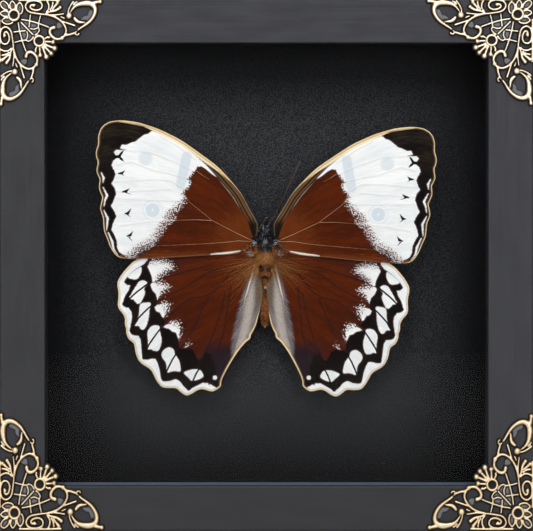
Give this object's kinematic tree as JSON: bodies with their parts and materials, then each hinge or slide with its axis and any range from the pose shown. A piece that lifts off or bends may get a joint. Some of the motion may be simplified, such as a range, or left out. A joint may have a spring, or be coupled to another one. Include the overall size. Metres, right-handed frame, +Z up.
{
  "type": "framed butterfly specimen",
  "caption": "Square dark shadow box with antique brass filigree corners, holding a spread brown and white butterfly on black grained board behind glass.",
  "frame": {"origin": "middle of the footprint, on the surface that the frame stands on", "axes": "+Z up, +X to the viewer's right, -Y out of the glazed front towards the viewer"},
  "size_m": [0.2, 0.0338, 0.2],
  "materials": {
    "rail_paint": "satin charcoal black paint over wood with faint lengthwise grain",
    "glass": "clear picture glass, polished",
    "liner_card": "matt black card",
    "board_cover": "black leather-grained paper, fine pebble",
    "rear_board": "bare hardboard, smooth side out",
    "steel": "zinc-plated steel",
    "antique_brass": "antiqued cast filigree, polished crests and dark recesses",
    "wing_scales": "powdery wing scales, brown, white and black-brown with cream rims",
    "body_hair": "short black and blue-grey hair",
    "abdomen_hair": "short orange-brown hair and scales",
    "antenna_horn": "dry dark brown horn",
    "glue": "dried contact glue"
  },
  "bodies": {
    "root": {"abdomen": "abdomen_hair", "antenna_left": "antenna_horn", "antenna_right": "antenna_horn", "bracket_bottom_left": "antique_brass", "bracket_bottom_right": "antique_brass", "bracket_top_left": "antique_brass", "bracket_top_right": "antique_brass", "forewing_left": "wing_scales", "forewing_right": "wing_scales", "glass_pane": "glass", "hanger_nail_left": "steel", "hanger_nail_right": "steel", "head": "body_hair", "hindwing_left": "wing_scales", "hindwing_right": "wing_scales", "mount_board": "board_cover", "mounting_pad": "glue", "palp_left": "body_hair", "palp_right": "body_hair", "rail_bottom": "rail_paint", "rail_left": "rail_paint", "rail_right": "rail_paint", "rail_top": "rail_paint", "rear_panel": "rear_board", "retaining_point_bottom": "steel", "retaining_point_left": "steel", "retaining_point_right": "steel", "retaining_point_top": "steel", "sawtooth_hanger": "steel", "spacer_bottom": "liner_card", "spacer_left": "liner_card", "spacer_right": "liner_card", "spacer_top": "liner_card", "thorax": "body_hair"}
  },
  "joints": []
}
